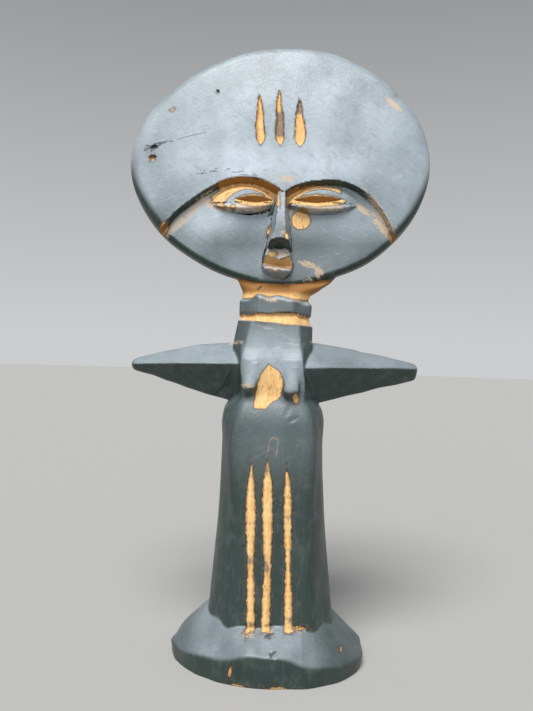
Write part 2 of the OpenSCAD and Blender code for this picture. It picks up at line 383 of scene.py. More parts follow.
# sections of the torso and the skirt by height: middle, half width, half width of the front flat,
# reach to the front and to the back
COLUMN_KEYS = ("middle", "half", "flat", "front", "back")
TORSO = {
    "middle": [(105, 0.2), (120, 0.2), (128, -1.2), (138, -1.1), (148, -0.3)],
    "half": [(105, 15), (114, 16.6), (120, 17.2), (128, 17.5), (138, 17.3), (147, 16.5)],
    "flat": [(105, 12), (116, 12.2), (128, 13), (137, 11.7), (147, 10.3)],
    "front": [(105, 18.6), (114, 19), (120, 19.6), (126, 20.2), (131, 20.2), (137, 18.7), (147, 16.2)],
    "back": [(105, 20), (120, 19), (137, 17), (147, 15.4)],
}
SKIRT = {
    "middle": [(15, 1), (40, 0.7), (68, 0.5), (95, -0.1), (115, -0.3)],
    "half": [(10, 28.2), (21, 27.1), (30, 26.3), (45, 24.9), (68, 23.2), (95, 22.2), (107, 22.2)]
    + [(110, 21.4), (116, 16.6), (121, 13)],
    "flat": [(10, 18.6), (30, 17.4), (68, 16.4), (106, 15.8), (114, 13), (120, 10)],
    "front": [(10, 26.6), (30, 25.2), (68, 23.6), (98, 22.6), (107, 22), (112, 20.4), (119, 16.8)],
    "back": [(10, 25.6), (30, 24.4), (68, 22.4), (106, 21), (118, 16)],
}


def torso_field(x, y, z):
    """The chest: an eight-sided block whose front plane comes forward to the shoulder line, and is
    cut back below it, between and under the breasts."""
    middle, half, flat, front, back = (along(z, TORSO[key]) for key in COLUMN_KEYS)
    d = eight_sided(x - middle, y, half, flat, front, back, half * 0.5, 0.9)
    top = NECK_LOW - 0.06 * x
    return smooth_max(d, np.maximum(z - top, 105.0 - z), 0.6)


# ridges on the chest: middle x at the top and below, half width, height where the front ends
BREASTS = {"right_breast": (-10.6, -11, 3.2, 118.4), "left_breast": (7.3, 7, 3.4, 116.8)}
CHEST_FOLD = (131.0, 20.2)
CHEST_RISE = 0.29


def breast_field(x, y, z, shape):
    """A flat-faced ridge that carries the chest's plane on down and ends in a rounded point."""
    top_x, tip_x, half, end_z = shape
    fold_z, fold_y = CHEST_FOLD
    mid = top_x + (tip_x - top_x) * ramp(fold_z, end_z, z)
    plane = -y - fold_y - CHEST_RISE * (fold_z - z) + 0.38 * np.clip(z - fold_z, 0, 20)
    reach = fold_y + CHEST_RISE * (fold_z - end_z)
    under = ((-y - reach) * 3.8 + (end_z - z) * 6.3) / 7.3
    side = 0.66 * (np.abs(x - mid) - half) + 0.9 * ramp(end_z + 2.0, end_z - 5.0, z)
    d = smooth_max(smooth_max(side, plane, 2.4), under, 2.8)
    return np.maximum(smooth_max(d, end_z - 7.5 - z, 2.0), np.maximum(z - fold_z - 6.0, y + 9.0))


# each arm, by distance out from the middle: heights of its top, its lower edge and its front ridge
ARMS = {
    -1: {
        "top": [(8, 139.2), (18, 138.3), (33, 137), (51, 133.2), (60, 130.7), (64, 129.2)],
        "low": [(8, 109.5), (22, 113.2), (33, 115.9), (45, 119.6), (56, 123), (64, 125)],
        "ridge": [(8, 129.4), (18, 129.1), (45, 128.3), (64, 127.4)],
        "round": 0.05,
    },
    1: {
        "top": [(8, 139.8), (23, 138.6), (37, 136.3), (50, 133.9), (61, 131.4), (64, 130.6)],
        "low": [(8, 109.5), (23, 113.3), (37, 117.2), (50, 120.6), (64, 124)],
        "ridge": [(8, 128), (17, 128.2), (45, 128.8), (64, 129)],
        "round": 0.015,
    },
}


def arm_field(x, y, z, side):
    """One level arm: light upper facet, sharp front ridge, broad lower facet."""
    out = x * side
    shape = ARMS[side]
    top, low, ridge = (along(out, shape[key]) for key in ("top", "low", "ridge"))
    front = along(out, [(8, 20.4), (17, 17.6), (30, 13.2), (50, 8.2), (64, 4.2)])
    back = along(out, [(8, 15.6), (17, 14.6), (40, 10.4), (64, 4.2)])
    crown = along(out, [(8, 4.6), (17, 4.2), (40, 3.4), (64, 1.6)])
    keel = along(out, [(8, 4.4), (17, 4.0), (40, 3.0), (64, 1.4)])
    d = np.full_like(x, -40.0)
    for reach, forward in ((front, -y), (back, y)):
        for edge, half, up in ((top, crown, 1.0), (low, keel, -1.0)):
            rise = np.abs(edge - ridge)
            run = np.maximum(reach - half, 0.3)
            size = np.sqrt(rise * rise + run * run)
            plane = ((forward - reach) * rise + (z - ridge) * up * run) / size
            d = smooth_max(d, plane, 0.6)
    d = smooth_max(smooth_max(d, z - top, 1.0), low - z, 1.0)
    end = out - ARM_REACH + shape["round"] * (y * y + (z - ridge) ** 2)
    d = smooth_max(d, end, 1.8) + 0.14 * waves(x, y, z, 12.0, 37 + side)
    return smooth_max(d, 8.0 - out, 0.5)


# ---- column and foot

# skirt lines, low to high: (z, middle x, half width)
LONG_MARKS = [
    [(19, -6.9, 1.65), (34, -7.4, 1.55), (46, -7.8, 1.25), (56, -8.1, 1.8), (69, -8.4, 2.05)],
    [(19, -0.8, 1.8), (34, -0.8, 1.7), (46, -0.7, 1.45), (56, -1, 1.9), (69, -1.4, 2.2)],
    [(19, 8.7, 1.7), (34, 8.2, 1.5), (46, 7.8, 0.95), (56, 7.4, 1.5), (69, 7, 1.6)],
]
LONG_MARKS[0] += [(80, -8.6, 1.2), (87, -8.6, 0)]
LONG_MARKS[1] += [(81, -1.7, 1.7), (89, -2, 0)]
LONG_MARKS[2] += [(80, 6.6, 1.1), (87, 6, 0)]
MARK_DEPTH = 1.5


def long_mark_inside(x, z, mark):
    """Distance inside one line of the skirt, negative outside: square below, pointed above."""
    middle = along(z, [(s[0], s[1]) for s in mark])
    half = along(z, [(s[0], 0.94 * s[2]) for s in mark])
    half = half + 0.11 * np.sin(z * 0.9 + mark[0][1]) + 0.07 * np.sin(z * 2.3 + 2 * mark[0][1])
    return np.minimum(half - np.abs(x - middle), (mark[-1][0] - z) * 0.4)


def skirt_field(x, y, z):
    middle, half, flat, front, back = (along(z, SKIRT[key]) for key in COLUMN_KEYS)
    cut = np.zeros_like(x)
    for mark in LONG_MARKS:
        cut = np.maximum(cut, MARK_DEPTH * round_cut(long_mark_inside(x, z, mark), 1.8))
    cut = np.where(y < 0, cut, 0)
    d = eight_sided(x - middle, y + cut, half, flat, front, back, half * 0.46, 3.0)
    d = d + 0.22 * waves(x, y, z * 0.25, 13.0, 41)
    return smooth_max(d, np.maximum(z - WAIST_Z - 6.0, 8.0 - z), 0.9)


# the foot's sloping facets: degrees from the front towards the doll's left, then the distance out
# and height of the crease and of the ridge
FOOT_FACETS = [
    (-98, 28, 19.8, 43.2, 3.8),
    (-62, 29.6, 20, 41.4, 6),
    (-33, 29.4, 20.6, 38.9, 9.4),
    (-3, 25.6, 20.6, 38.4, 13.2),
    (27, 29.6, 20.4, 39.4, 10),
    (48, 30.2, 20.8, 42.6, 7),
    (78, 30.2, 17.4, 43.6, 4.4),
    (115, 29.5, 18, 42, 4.8),
    (150, 27.5, 19.6, 39, 8),
    (184, 25, 20, 37.5, 10),
    (220, 28.5, 20, 39.5, 7),
]


def foot_field(x, y, z):
    """Sloping adze facets over an upright, faintly undercut band on a flat base."""
    top = np.full_like(x, -40.0)
    for turn, crease_out, crease_z, ridge_out, ridge_z in FOOT_FACETS:
        out = x * math.sin(math.radians(turn)) - y * math.cos(math.radians(turn))
        run, fall = ridge_out - crease_out, crease_z - ridge_z
        plane = ((out - crease_out) * fall + (z - crease_z) * run) / math.hypot(run, fall)
        top = smooth_max(top, plane, 1.8)
    lean = 0.972 + 0.028 * np.clip(z / 8.0, 0, 1)
    n = np.where(x < 0, 1.9, 2.45)
    u, v = np.abs(x) / (FOOT_HALF_W * lean), np.abs(y) / (FOOT_HALF_D * lean)
    plan = (u**n + v**n + 1e-9) ** (1 / n)
    grow = np.sqrt((x / FOOT_HALF_W**2) ** 2 + (y / FOOT_HALF_D**2) ** 2) / np.maximum(plan, 0.2)
    band = (plan - 1) / np.maximum(grow, 0.01)
    rough = 0.22 * waves(x, y, z, 13.0, 51)
    d = smooth_max(top + rough, band + rough, 1.0)
    return smooth_max(d, -z, 0.8)


# ---- whole figure

# each carved mass: its field, the heights that it lies between, and how softly it joins the rest
MASSES = {
    "head": (head_field, 155, 280, 0),
    "neck": (neck_field, 140, 182, 1),
    "neck_ring": (ring_field, 146, 164, 0.2),
    "torso": (torso_field, 100, 152, 0.25),
    "right_arm": (partial(arm_field, side=-1), 100, 145, 0.9),
    "left_arm": (partial(arm_field, side=1), 100, 145, 0.9),
    "skirt": (skirt_field, 2, 122, 1.2),
    "right_breast": (partial(breast_field, shape=BREASTS["right_breast"]), 100, 140, 2.4),
    "left_breast": (partial(breast_field, shape=BREASTS["left_breast"]), 100, 140, 2.4),
    "base": (foot_field, -6, 32, 0.5),
}

# hollows knocked or gouged in the front: an oval spot and its depth
DENTS = [
    ((8.4, 106.5, 2.6, 1.2, 30), 0.35),
    ((6, 110, 1.6, 3, -20), 0.3),
    ((1.6, 18.2, 3, 0.9, 14), 0.45),
    ((2.6, 13.6, 1.6, 0.9, -40), 0.4),
    ((-8.4, 17.4, 0.7, 1, 0), 0.6),
    ((-14.6, 6.4, 0.9, 4, -8), 0.5),
    ((-28.6, 248, 0.8, 1.4, 10), 0.8),
    ((-55.6, 222.4, 1.7, 1.3, 20), 1.1),
    ((-56, 217.8, 1.7, 1.3, 0), 1),
    ((-6.6, 20.2, 2.6, 1.6, 20), 0.8),
    ((0.2, 20.8, 2.2, 1.2, 0), 0.6),
    ((13.4, 20.2, 2.6, 1, 10), 0.9),
]


def dent_depth(x, z):
    """Depth of the knocks and gouges at front points."""
    depth = np.zeros_like(x)
    for spot, deep in DENTS:
        half = min(spot[2], spot[3])
        t = np.clip(spot_inside(x, z, spot) / half, 0, 1)
        depth = np.maximum(depth, deep * t * (2 - t))
    return depth


def doll_field(x, y, z):
    """Signed distance to the whole doll, negative in the wood, for flat arrays of millimetres."""
    total = np.full(x.shape, 12.0)
    for field, low, high, blend in MASSES.values():
        near = np.flatnonzero((z > low) & (z < high))
        if len(near):
            d = field(x[near], y[near], z[near])
            old = total[near]
            total[near] = smooth_min(old, d, blend) if blend else np.minimum(old, d)
    return total + np.where(y < 0, dent_depth(x, z), 0.0)


# ---- meshing


def sample_grid(field, low, high, cell):
    """The field on a grid, worked out finely only in blocks near the surface."""
    block = 8
    count = np.ceil((high - low) / (cell * block)).astype(int)
    size = cell * block
    gx, gy, gz = np.meshgrid(*[low[a] + (np.arange(count[a]) + 0.5) * size for a in range(3)], indexing="ij")
    coarse = field(gx.ravel(), gy.ravel(), gz.ravel()).reshape(gx.shape)
    grid = np.repeat(np.repeat(np.repeat(coarse, block, 0), block, 1), block, 2).astype(np.float32)
    step = (np.arange(block) + 0.5) * cell - size / 2
    ox, oy, oz = (o.ravel() for o in np.meshgrid(step, step, step, indexing="ij"))
    near = np.argwhere(np.abs(coarse) < size * 1.5)
    batch = 1500
    for start in range(0, len(near), batch):
        cells = near[start : start + batch]
        mids = low + (cells + 0.5) * size
        px = (mids[:, :1] + ox).ravel()
        py = (mids[:, 1:2] + oy).ravel()
        pz = (mids[:, 2:] + oz).ravel()
        values = field(px, py, pz).reshape(-1, block, block, block)
        for (i, j, k), box in zip(cells * block, values):
            grid[i : i + block, j : j + block, k : k + block] = box
    return grid, low + 0.5 * cell


def surface_net(grid, origin, cell):
    """Vertices and four-sided faces of the grid's zero surface."""
    inside = grid < 0
    corners = [(i, j, k) for i in (0, 1) for j in (0, 1) for k in (0, 1)]
    shape = np.array(grid.shape) - 1

    def shifted(a, c):
        return a[c[0] : c[0] + shape[0], c[1] : c[1] + shape[1], c[2] : c[2] + shape[2]]

    total = np.zeros(shape, np.int8)
    for c in corners:
        total += shifted(inside, c)
    active = np.argwhere((total > 0) & (total < 8))
    index = np.full(shape, -1, np.int32)
    index[tuple(active.T)] = np.arange(len(active))
    points = np.zeros((len(active), 3))
    weight = np.zeros(len(active))
    for a in corners:
        for axis in range(3):
            if a[axis]:
                continue
            b = tuple(v + (n == axis) for n, v in enumerate(a))
            va = grid[tuple((active + a).T)]
            vb = grid[tuple((active + b).T)]
            cross = (va < 0) != (vb < 0)
            t = np.where(cross, va / np.where(cross, va - vb, 1), 0)
            spot = np.array(a, float)[None, :].repeat(len(active), 0)
            spot[:, axis] = t
            points += spot * cross[:, None]
            weight += cross
    points = origin + (active + points / weight[:, None]) * cell
    quads = []
    for axis in range(3):
        u, v = (axis + 1) % 3, (axis + 2) % 3
        head = [slice(1, -1)] * 3
        head[axis] = slice(0, -1)
        tail = list(head)
        tail[axis] = slice(1, None)
        here, there = inside[tuple(head)], inside[tuple(tail)]
        spots = np.argwhere(here != there)
        flip = ~here[tuple(spots.T)]
        offset = np.ones(3, int)
        offset[axis] = 0
        spots = spots + offset
        ring = []
        for du, dv in ((0, 0), (-1, 0), (-1, -1), (0, -1)):
            c = spots.copy()
            c[:, u] += du
            c[:, v] += dv
            ring.append(index[tuple(c.T)])
        quad = np.stack(ring, 1)
        quad[flip] = quad[flip][:, ::-1]
        quads.append(quad)
    return points, np.concatenate(quads)


def gradient(field, p, step=0.12):
    """Direction and size of the field's fastest rise at points p."""
    ways = np.array([(1, -1, -1), (-1, -1, 1), (-1, 1, -1), (1, 1, 1)], float)
    total = np.zeros_like(p)
    for way in ways:
        q = p + way * step
        total += way * field(q[:, 0], q[:, 1], q[:, 2])[:, None]
    return total / (4 * step)


def settle(field, p, cell, rounds=2):
    """Moves points onto the zero surface, each by at most half a cell a round."""
    for _ in range(rounds):
        g = gradient(field, p)
        value = field(p[:, 0], p[:, 1], p[:, 2])
        move = -(value / np.maximum((g * g).sum(1), 0.2))[:, None] * g
        far = np.linalg.norm(move, axis=1) / (0.5 * cell)
        p = p + move / np.maximum(far, 1)[:, None]
    return p


def carve():
    """Points, outward normals and triangles of the doll's skin."""
    low = np.array([-69.0, -41.0, -2.4])
    high = np.array([70.0, 41.0, 277.0])
    grid, origin = sample_grid(doll_field, low, high, CELL)
    points, quads = surface_net(grid, origin, CELL)
    points = settle(doll_field, points, CELL)
    points[:, 2] = np.maximum(points[:, 2], 0.0)
    normals = gradient(doll_field, points)
    normals /= np.maximum(np.linalg.norm(normals, axis=1), 1e-6)[:, None]
    return points, normals, quads


# ---- borders between the pieces


# the order in which the pieces are parted off: the last of each list is what is left
BODY_ORDER = ["head", "neck", "neck_ring", "lower_neck", "left_breast", "right_breast", "left_arm"]
BODY_ORDER += ["right_arm", "torso", "base", "skirt"]
FACE_ORDER = ["nose", "left_eye", "right_eye", "mouth"]


def face_nearness(p):
    """The same as nearness for the pieces of the face, which lie in front of the head's middle."""
    lx, ly, lz = head_frame(*p.T)
    parts = face_parts(lx, lz)
    for name in FACE_ORDER:
        parts[name] = parts[name] + np.where(ly < -1.0, 0.0, -60.0)
    return parts


def nearness(p):
    """For each piece, a number at every point that is largest for the piece it belongs to."""
    x, y, z = p.T
    result = {name: -mass[0](x, y, z) for name, mass in MASSES.items()}
    result["lower_neck"] = np.where(z < MID_RING, result["neck"], -50.0)
    result["neck"] = np.where(z > MID_RING, result["neck"], -50.0)
    return result


def cut_mesh(points, extra, tris, tags, value):
    """Splits triangles along value = 0. extra holds further columns that follow the points.
    tags is one integer per triangle, kept. Returns everything again, with the side of each."""
    sign = value > 0
    count = sign[tris].sum(1)
    whole = (count == 0) | (count == 3)
    keep, keep_tags, keep_side = tris[whole], tags[whole], sign[tris[whole][:, 0]]
    mixed, mixed_tags, one = tris[~whole], tags[~whole], count[~whole] == 1
    lone = np.where(one[:, None], sign[mixed], ~sign[mixed]).argmax(1)
    rows = np.arange(len(mixed))
    a = mixed[rows, lone]
    b = mixed[rows, (lone + 1) % 3]
    c = mixed[rows, (lone + 2) % 3]
    ends = np.sort(np.concatenate([np.stack([a, b], 1), np.stack([a, c], 1)]), axis=1)
    pairs, where = np.unique(ends, axis=0, return_inverse=True)
    where = where.ravel()
    v0, v1 = value[pairs[:, 0]], value[pairs[:, 1]]
    t = np.clip(v0 / (v0 - v1), 0.02, 0.98)[:, None]
    fresh = points[pairs[:, 0]] * (1 - t) + points[pairs[:, 1]] * t
    fresh_extra = extra[pairs[:, 0]] * (1 - t) + extra[pairs[:, 1]] * t
    base = len(points)
    ab = base + where[: len(mixed)]
    ac = base + where[len(mixed) :]
    new = np.concatenate([np.stack([a, ab, ac], 1), np.stack([ab, b, c], 1), np.stack([ab, c, ac], 1)])
    new_tags = np.concatenate([mixed_tags] * 3)
    new_side = np.concatenate([one, ~one, ~one])
    return (
        np.concatenate([points, fresh]),
        np.concatenate([extra, fresh_extra]),
        np.concatenate([keep, new]),
        np.concatenate([keep_tags, new_tags]),
        np.concatenate([keep_side, new_side]),
    )


def split_pieces(points, normals, quads):
    """Cuts the skin along the creases between the carved masses."""
    tris = np.concatenate([quads[:, [0, 1, 2]], quads[:, [0, 2, 3]]])
    tags = np.zeros(len(tris), int)
    near = nearness(points) | face_nearness(points)
    order = BODY_ORDER + FACE_ORDER + ["cheek"]
    columns = {name: 3 + n for n, name in enumerate(order)}
    extra = np.column_stack([normals] + [near[name] for name in order])

    def part_off(name, rivals, owner, tag):
        nonlocal points, extra, tris, tags
        value = extra[:, columns[name]] - extra[:, [columns[r] for r in rivals]].max(1)
        free = tags == owner
        points, extra, cut, cut_tags, side = cut_mesh(points, extra, tris[free], tags[free], value)
        cut_tags[side] = tag
        tris = np.concatenate([tris[~free], cut])
        tags = np.concatenate([tags[~free], cut_tags])

    for n, name in enumerate(BODY_ORDER[:-1]):
        part_off(name, BODY_ORDER[n + 1 :], 0, n + 1)
    tags[tags == 0] = len(BODY_ORDER)
    for n, name in enumerate(FACE_ORDER):
        part_off(name, FACE_ORDER[n + 1 :] + ["cheek"], 1, len(BODY_ORDER) + n + 1)
    return points, extra[:, :3], {name: tris[tags == n + 1] for n, name in enumerate(order[:-1])}


def border_loops(tris):
    """Closed runs of the edges that only one triangle uses, each as a list of points."""
    edges = np.concatenate([tris[:, [0, 1]], tris[:, [1, 2]], tris[:, [2, 0]]])
    seen = {tuple(e) for e in edges.tolist()}
    after = {}
    for a, b in seen:
        if (b, a) not in seen:
            after.setdefault(a, []).append(b)
    loops = []
    while after:
        start = next(iter(after))
        loop, here = [], start
        while here in after:
            loop.append(here)
            ahead = after[here].pop()
            if not after[here]:
                del after[here]
            here = ahead
        loops.append(loop)
    return loops


def close_piece(points, normals, tris, depth):
    """Closes every open border with a fan to a point that lies depth inside the wood."""
    fresh, fresh_normals, caps = [], [], []
    for loop in border_loops(tris):
        middle = points[loop].mean(0)
        inward = -normals[loop].mean(0)
        inward /= max(np.linalg.norm(inward), 1e-6)
        tip = len(points) + len(fresh)
        fresh.append(middle + inward * depth)
        fresh_normals.append(-inward)
        for a, b in zip(loop, loop[1:] + loop[:1]):
            caps.append((b, a, tip))
    if fresh:
        points = np.concatenate([points, np.array(fresh)])
        normals = np.concatenate([normals, np.array(fresh_normals)])
        tris = np.concatenate([tris, np.array(caps)])
    return points, normals, tris

# ---- where the stain is cut or worn through, greyed, or painted with light and shade

# a distance inside bare wood that is well outside it, and one from a line that is well off it
FAR = -9.0
OFF = 40.0
LOOP_LINE = 0.26

# bare wood on the face, in the head's frame: middle x and z, half width, half height, tilt in degrees
FACE_SPOTS = {
    "cheek disc": (8.8, -27, 4.1, 4.1, 0),
    "side of the nose": (-5.2, -31.8, 0.8, 2.3, -15),
    "tip of the nose": (2.4, -36.2, 1, 1.6, 0),
    "pad under the nose": (-3.6, -42.6, 1.6, 1.2, -6),
    "right end of the brow": (-51.4, -31.6, 1.5, 3.6, -37),
    "left end of the brow": (49, -35.2, 1, 2.6, 30),
    "right eye's lower lid": (-20.8, -22.6, 1, 1.2, 0),
    "right eye's outer lid": (-26, -21.6, 2.2, 0.8, -30),
    "knot": (-56.2, -0.6, 1, 1.3, 0),
    "fleck": (-47.9, 21.6, 0.9, 0.6, 20),
}
# bare wood elsewhere on the front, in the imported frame
BODY_SPOTS = {
    "left breast": (9, 115.4, 1.2, 2.3, 10),
    "chip in the foot": (-14.6, 5.6, 0.5, 2.4, -8),
    "foot edge right": (-11.2, 0.4, 2.6, 0.7, 0),
    "foot edge left": (4.4, 0.2, 4, 0.9, 0),
    "nick right": (-7.6, 19.6, 1.9, 0.7, 20),
    "nick left": (13, 20.6, 2.6, 0.8, 0),
    "foot fleck": (31, 11.4, 0.4, 0.4, 0),
}
# stain rubbed thin, so that wood shows through: on the face, then elsewhere
FACE_RUBS = {
    "over the nose": (2.4, -10.6, 3.2, 1.5, 0),
    "chin": (12.2, -46.2, 4.2, 1.3, -18),
    "chin corner": (16.6, -49.8, 1.7, 2.4, 12),
    "chin edge": (11.6, -53, 1.8, 0.8, 0),
    "rim": (49.3, 24.8, 4.4, 1.7, -42),
    "beside the left eye": (36, -22.6, 4.6, 1.3, -38),
    "left end of the brow": (44.4, -29.6, 2.4, 7.6, 36),
    "right brow's outer wall": (-41, -25.4, 1.7, 13.5, -47),
    "left brow's wall": (41.6, -21.4, 8, 0.9, -50),
    "tip of the nose": (1.6, -35.2, 2.4, 1, 0),
    "beside the right eye": (-30, -20, 2.6, 2.6, 0),
    "right eye's lower lid": (-15.5, -22.6, 12.5, 1.4, 0),
    "left eye's lower lid": (15, -22.9, 12, 1.4, 2),
    "lower lip": (-1.4, -48.9, 5.6, 1.2, 0),
    "pad": (-1, -42.4, 5, 1.9, 0),
}
BODY_RUBS = {
    "right shoulder": (-17.4, 138.2, 2.6, 0.7, 10),
    "left shoulder": (16.2, 139.2, 1, 0.7, 0),
    "right breast": (-11.2, 119.8, 2.4, 1.2, 0),
    "ring": (9, 158.2, 6, 1.3, -6),
    "ring middle": (-3, 157, 2.6, 1.1, 0),
    "end of the first line": (-7.4, 18.8, 2.4, 1, 10),
    "end of the middle line": (0.2, 19.4, 2, 0.8, 0),
    "end of the last line": (12.4, 20, 3.2, 0.6, 0),
}

# thin lines in the front: x and z of both ends, sag, half width
CRACKS = [
    (-57.4, 221.6, -46.6, 225.4, 0.6, 0.17),
    (-46.4, 225.6, -33, 229.2, 0.3, 0.11),
    (-60.4, 220.6, -54.8, 222.9, 0.4, 0.30),
    (-59.6, 223.3, -54, 221.9, 0.3, 0.24),
    (-57.2, 219.9, -52.6, 223.6, 0.3, 0.22),
    (-56, 223.8, -50.4, 224.9, 0.2, 0.26),
    (-54.4, 222.6, -49.4, 225.6, 0.2, 0.20),
    (-58.6, 218.6, -54.6, 217, 0.2, 0.22),
    (-57.4, 216.4, -54, 219, 0.2, 0.20),
    (-8.8, 161, -6.6, 163.8, 0, 0.50),
    (-1.4, 17.8, 2.8, 18.9, 0.2, 0.36),
    (0.2, 17.3, 1.8, 17.8, 0.1, 0.26),
    (1, 12.9, 3.8, 14.8, 0.1, 0.34),
    (0.6, 14.4, 2, 13.4, 0, 0.26),
]
# chatter marks of the blade along the top of the right brow: low end, run, rise
for n in range(17):
    start, run = -37.0 + 1.65 * n, 3.0 + 1.7 * math.sin(n * 2.3)
    height = 209.3 + 2.9 * math.sin((n + 2) / 18.0 * math.pi) + 0.75 * math.sin(n * 4.1)
    half = 0.10 + 0.03 * math.sin(n * 1.7)
    CRACKS.append((start, height, start + run, height + 0.9 - 0.09 * n, 0.15, half))
# cuts where the right arm leaves the body
for n in range(6):
    CRACKS.append((-27.0 + 1.5 * n, 114.0 + 1.1 * n, -20.6 + 0.4 * n, 120.6 + 1.3 * n, 0.2, 0.24))

# light scratches: seed, count, middle of the area, its half size, longest, slope and its spread
SCRATCHED = [
    (5, 30, (0, 226), (52, 30), 9, -15, 15),
    (6, 34, (-30, 188), (14, 9), 4, -20, 50),
    (8, 16, (26, 182), (14, 9), 5, 20, 40),
    (9, 22, (0, 62), (21, 42), 14, 90, 5),
    (10, 9, (-2, 15), (26, 6), 3, 80, 30),
    (12, 16, (-1, 138), (9, 8), 9, 0, 5),
]
# an unfinished groove over the skirt's middle line: its axis from low to high, and its half width
LOOP = ((-0.7, 88.6), (0.4, 96.8), 1.8)

# stain left thinly inside the skirt's lines
LONG_FILM = [
    (-1.4, 45.4, 1.3, 2.6, 12),
    (-8, 47.6, 0.8, 1.5, 0),
    (9.2, 24, 0.9, 1.2, 0),
    (-7, 22.4, 1, 0.7, 0),
    (-2.2, 85.6, 0.8, 2.2, 0),
    (7.4, 66, 0.4, 0.8, 0),
]


def scratches():
    """Light scratches scattered over the fields of SCRATCHED, as lines."""
    lines = []
    for seed, count, (mid_x, mid_z), (half_x, half_z), longest, slope, spread in SCRATCHED:
        rng = np.random.default_rng(seed)
        for _ in range(count):
            x, z = mid_x + rng.uniform(-half_x, half_x), mid_z + rng.uniform(-half_z, half_z)
            size, turn = rng.uniform(0.25, 1.0) * longest, math.radians(slope + rng.uniform(-spread, spread))
            dx, dz = size * math.cos(turn), size * math.sin(turn)
            lines.append((x, z, x + dx, z + dz, rng.uniform(-0.03, 0.03) * size, rng.uniform(0.08, 0.15)))
    return lines


def nearest_line(x, z, lines):
    """Signed distance to the nearest line in its own half widths, and the way in from its ends."""
    best, room = np.full(x.shape, OFF), np.full(x.shape, -5.0)
    for x0, z0, x1, z1, sag, half in lines:
        size = math.hypot(x1 - x0, z1 - z0)
        way_x, way_z = (x1 - x0) / size, (z1 - z0) / size
        t = (x - x0) * way_x + (z - z0) * way_z
        off = (z - z0) * way_x - (x - x0) * way_z - sag * (1 - (2 * t / size - 1) ** 2)
        inside = np.minimum(t, size - t)
        closer = (inside > -1.5) & (np.abs(off / half) < np.abs(best))
        best, room = np.where(closer, off / half, best), np.where(closer, inside, room)
    return best, room


def loop_line(x, z):
    """Signed distance to the outline of the unfinished groove."""
    (x0, z0), (x1, z1), half = LOOP
    t = np.clip(((x - x0) * (x1 - x0) + (z - z0) * (z1 - z0)) / ((x1 - x0) ** 2 + (z1 - z0) ** 2), 0, 1)
    return np.hypot(x - x0 - t * (x1 - x0), z - z0 - t * (z1 - z0)) - half


def eye_bare(x, z, eye):
    """Distance inside the bare wood round one eye: the brow's valley, the slit and its lower edge."""
    s = below_brow(x, z)
    if eye.mid < 0:
        wall = np.minimum(s + 0.1, 0.6 * (x + 30.0) - 0.4 * (z + 18.0) + 0.5 * np.sin(z * 1.4))
        wall = np.minimum(wall, np.minimum(-0.6 - x, z + 21.4 + 0.2 * (x + 22.0)))
    else:
        wall = np.minimum(np.where(x < 8, s - 0.4, s - 0.9), x - 2.4)
        wall = np.minimum(wall - 0.13 * np.clip(x - 14, 0, 40), 26.0 - x)
    over_lid = z - eye.edge + eye.fall * (x - eye.edge_x) ** 2
    inside, place = slit_place(x, z, eye)
    rim = np.where(place > 0.5, np.minimum(inside + 1.3, 0.6), FAR)
    return np.maximum(np.minimum(wall, over_lid + 0.3), np.maximum(inside + 0.2, rim))


def lips_bare(x, z):
    """The same for the upper lip."""
    bow, line, _ = mouth_lines(x)
    side = along(z, MOUTH_HALF) - 0.9 - np.abs(x - MOUTH_X)
    return np.minimum(np.minimum(bow - z, z - line + 0.6), side)


def face_bare(x, z):
    """Distance inside the bare wood of the face, negative where the stain is whole."""
    kinds = [mark_inside(x, z, mark) + 0.15 for mark in BROW_MARKS]
    kinds += [eye_bare(x, z, eye) for eye in EYES.values()]
    kinds += [spot_inside(x, z, spot) for spot in FACE_SPOTS.values()]
    return np.maximum.reduce(kinds + [lips_bare(x, z)])


# edges of the bare patch between the breasts, by height
PATCH_RIGHT = [(110, -8.6), (113, -8.4), (118, -7.6), (124, -6.2), (127, -4.6), (129.4, -2.7)]
PATCH_LEFT = [(110, -4), (113, -1), (115, 1.8), (118, 3), (124, 3), (127, 1), (129.4, -2.7)]
PATCH_LOW, PATCH_HIGH = 110.6, 129.4


def body_bare(x, z):
    """The same for front points below the head and the neck."""
    patch = np.minimum(x - along(z, PATCH_RIGHT), along(z, PATCH_LEFT) - x)
    patch = np.minimum(patch, np.minimum(z - PATCH_LOW, PATCH_HIGH - z))
    over_crease = z - CREASE_Z + 1.2
    kinds = [np.minimum(long_mark_inside(x, z, mark) + 0.1, over_crease) for mark in LONG_MARKS]
    kinds += [spot_inside(x, z, spot) for spot in BODY_SPOTS.values()]
    return np.maximum.reduce(kinds + [patch])


def neck_bare(x, y, z):
    """The same for points near the neck: the stub over the ring and the groove under it."""
    close = 0.9 - np.abs(neck_field(x, y, z))
    stub = np.minimum(z - RING_TOP + 1.2, np.where(y < 2.0, 167.0, 174.0 + 0.06 * x) - z)
    groove = np.minimum(z - NECK_LOW + 0.8, RING_LOW + 0.2 - z)
    return np.minimum(close, np.maximum(stub, groove))


def rubbed_amount(x, z, spots):
    """How thin the stain is rubbed, from 0 to 1."""
    return np.maximum.reduce([ease(-1.5, 0.6, spot_inside(x, z, spot)) for spot in spots.values()])


# fields of the face painted paler, partly dusty greying and partly a painted sheen highlight, and a darker
# one by the nose: middle x and z, half width and half height, strength
PALE_AND_SHEEN = [
    (-18, -4, 22, 8, 0.75),
    (10, 14, 34, 26, 0.18),
    (26, -5, 16, 7, 0.35),
    (-36, -30, 12, 9, 1),
    (0.5, -34, 5, 6, -0.45),
]


